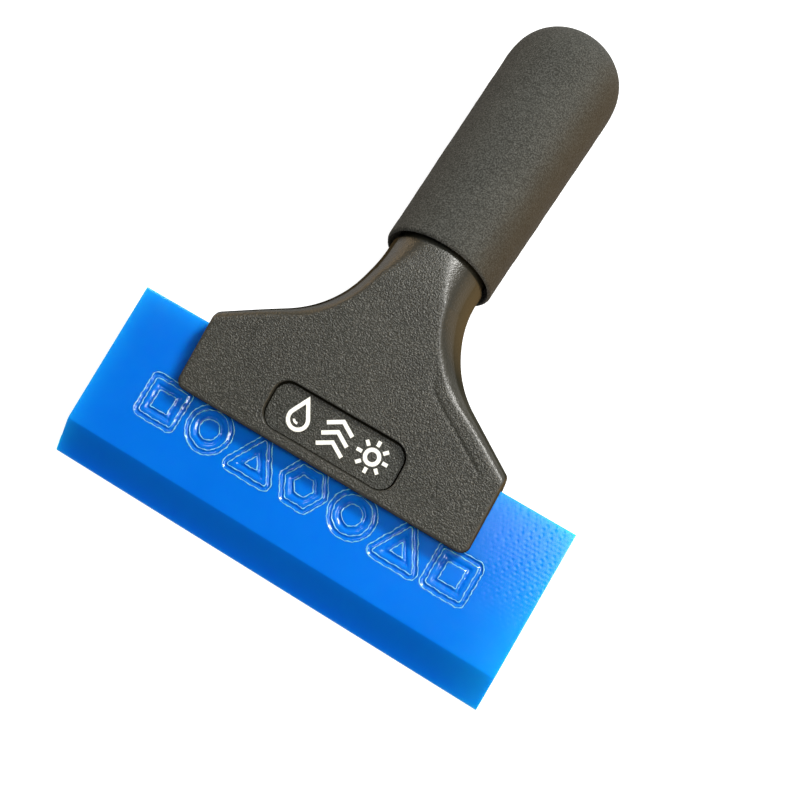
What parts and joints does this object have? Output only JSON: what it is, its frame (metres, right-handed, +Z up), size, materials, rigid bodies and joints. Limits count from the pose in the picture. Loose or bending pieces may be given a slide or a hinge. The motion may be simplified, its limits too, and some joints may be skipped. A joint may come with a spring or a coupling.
{
  "type": "squeegee applicator",
  "caption": "Hand squeegee for vinyl and window film: a soft bevelled blade clamped in a T-shaped head with a bent neck and a foam grip.",
  "frame": {"origin": "middle of the bounding box on the surface that the tool lies on; it rests on the blade's wiping edge and on the far end of the grip", "axes": "+X along the blade, +Y from the wiping edge towards the grip's end, +Z up from the surface, on the side of the head's label recess"},
  "size_m": [0.127, 0.166, 0.0358],
  "materials": {
    "black_plastic": "fine spark-textured moulding, dark warm grey",
    "blue_urethane": "glossy slightly translucent cast urethane",
    "grip_foam": "matt fine-celled foam rubber skin",
    "stainless": "plain turned stainless steel",
    "brass": "turned brass"
  },
  "bodies": {
    "handle": {"handle_body": "black_plastic", "grip_sleeve": "grip_foam", "threaded_insert_1": "brass", "threaded_insert_2": "brass", "threaded_insert_3": "brass"},
    "blade": {"blade": "blue_urethane"},
    "rear_clamp": {"rear_clamp_plate": "black_plastic"},
    "screw_1": {"clamp_screw_1": "stainless"},
    "screw_2": {"clamp_screw_2": "stainless"},
    "screw_3": {"clamp_screw_3": "stainless"}
  },
  "joints": [
    {"name": "blade_slide", "type": "slide", "parent": "handle", "child": "blade", "axis": [1, 0, 0], "range_m": [-0.02, 0.02]},
    {"name": "clamp_open", "type": "slide", "parent": "handle", "child": "rear_clamp", "axis": [0, 0.1821, -0.9833], "range_m": [0, 0.0021]},
    {"name": "screw_1_turn", "type": "hinge", "parent": "rear_clamp", "child": "screw_1", "pos_m": [-0.0183, -0.02814, 0.00753], "axis": [0, 0.1821, -0.9833], "range_deg": [0, 1080]},
    {"name": "screw_2_turn", "type": "hinge", "parent": "rear_clamp", "child": "screw_2", "pos_m": [0.0197, -0.02814, 0.00753], "axis": [0, 0.1821, -0.9833], "range_deg": [0, 1080]},
    {"name": "screw_3_turn", "type": "hinge", "parent": "rear_clamp", "child": "screw_3", "pos_m": [0.0007, -0.01687, 0.0087], "axis": [0, 0.1821, -0.9833], "range_deg": [0, 1080]}
  ],
  "couplings": [
    {"joint": "screw_1_turn", "follows": "clamp_open", "rad_per_m": 8976},
    {"joint": "screw_2_turn", "follows": "clamp_open", "rad_per_m": 8976},
    {"joint": "screw_3_turn", "follows": "clamp_open", "rad_per_m": 8976}
  ]
}
